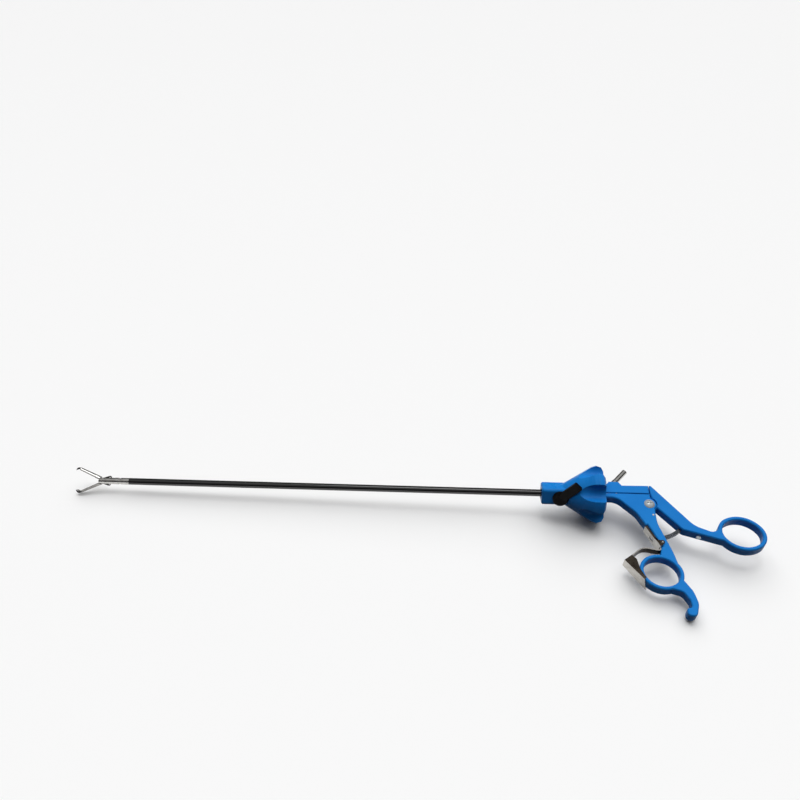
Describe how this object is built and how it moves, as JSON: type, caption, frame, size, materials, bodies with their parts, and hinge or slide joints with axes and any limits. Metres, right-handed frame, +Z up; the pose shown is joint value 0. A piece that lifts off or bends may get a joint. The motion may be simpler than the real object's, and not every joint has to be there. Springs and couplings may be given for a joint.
{
  "type": "laparoscopic grasping forceps",
  "caption": "Long slim keyhole-surgery forceps: scissor ring handle with ratchet and rotation knob drives a pair of clawed gripping jaws at the tip of an insulated shaft.",
  "frame": {"origin": "on the shaft axis, in the front face of the rotation knob", "axes": "+X along the row's length from the jaws to the handle, +Y from the finger grips across the table, +Z up from the table the instrument lies on; the shaft drops 1.65 degrees from the knob to the jaws and the handle leans 10.3 degrees"},
  "size_m": [0.4941, 0.1137, 0.041],
  "materials": {
    "sleeve_black": "satin black insulation",
    "port_black": "satin black",
    "cap_black": "matte black",
    "seal_rubber": "matte grey",
    "steel": "plain steel",
    "satin_steel": "satin steel sheet",
    "bright_steel": "polished steel",
    "dark_steel": "dark polished steel",
    "brass": "plain brass",
    "knob_blue": "satin blue",
    "handle_blue": "satin blue",
    "thumb_blue": "satin blue"
  },
  "bodies": {
    "handle": {"handle_body": "handle_blue", "top_cover": "handle_blue", "hf_pin": "bright_steel", "contact_brush": "brass", "barrel_bush": "brass", "pivot_screw": "bright_steel", "pivot_bush": "steel", "pivot_nut": "steel", "cheek_rivet": "bright_steel", "lever_pin": "bright_steel"},
    "shaft_group": {"rotation_knob": "knob_blue", "sheath_hub": "steel", "retaining_clip": "steel", "flush_port": "port_black", "insulation_sleeve": "sleeve_black", "sheath_tube": "steel", "jaw_yoke": "bright_steel", "jaw_pin": "bright_steel", "rod_seal": "seal_rubber"},
    "cap": {"flush_cap": "cap_black"},
    "rod": {"pull_rod": "steel", "rod_tip": "steel", "cam_pin": "steel", "rod_ball": "steel"},
    "jaw_a": {"upper_jaw": "bright_steel"},
    "jaw_b": {"lower_jaw": "dark_steel"},
    "thumb": {"thumb_handle": "thumb_blue", "ratchet_rack": "satin_steel", "rack_screw": "bright_steel"},
    "lever": {"release_lever": "satin_steel"}
  },
  "joints": [
    {"name": "knob_spin", "type": "hinge", "parent": "handle", "child": "shaft_group", "pos_m": [0, 0, 0], "axis": [0.9996, 0, 0.0288], "continuous": true},
    {"name": "cap_lift", "type": "slide", "parent": "shaft_group", "child": "cap", "axis": [-0.0082, -0.9583, 0.2856], "range_m": [0, 0.012]},
    {"name": "rod_pull", "type": "slide", "parent": "shaft_group", "child": "rod", "axis": [0.9996, 0, 0.0288], "range_m": [0, 0.00345]},
    {"name": "upper_jaw_swing", "type": "hinge", "parent": "shaft_group", "child": "jaw_a", "pos_m": [-0.32456, 0, -0.00935], "axis": [-0.0163, -0.8241, 0.5662], "range_deg": [0, 24.51]},
    {"name": "lower_jaw_swing", "type": "hinge", "parent": "shaft_group", "child": "jaw_b", "pos_m": [-0.32456, 0, -0.00935], "axis": [0.0163, 0.8241, -0.5662], "range_deg": [0, 24.51]},
    {"name": "thumb_swing", "type": "hinge", "parent": "handle", "child": "thumb", "pos_m": [0.07432, -0.00915, 0.00048], "axis": [0.0283, 0.1788, -0.9835], "range_deg": [0, 21]},
    {"name": "lever_swing", "type": "hinge", "parent": "handle", "child": "lever", "pos_m": [0.07848, -0.03975, -0.00497], "axis": [0.0283, 0.1788, -0.9835], "range_deg": [0, 4]}
  ],
  "couplings": [
    {"joint": "rod_pull", "follows": "thumb_swing", "m_per_rad": 0.0094055},
    {"joint": "upper_jaw_swing", "follows": "thumb_swing", "ratio": 1.1667},
    {"joint": "lower_jaw_swing", "follows": "thumb_swing", "ratio": 1.1667}
  ]
}
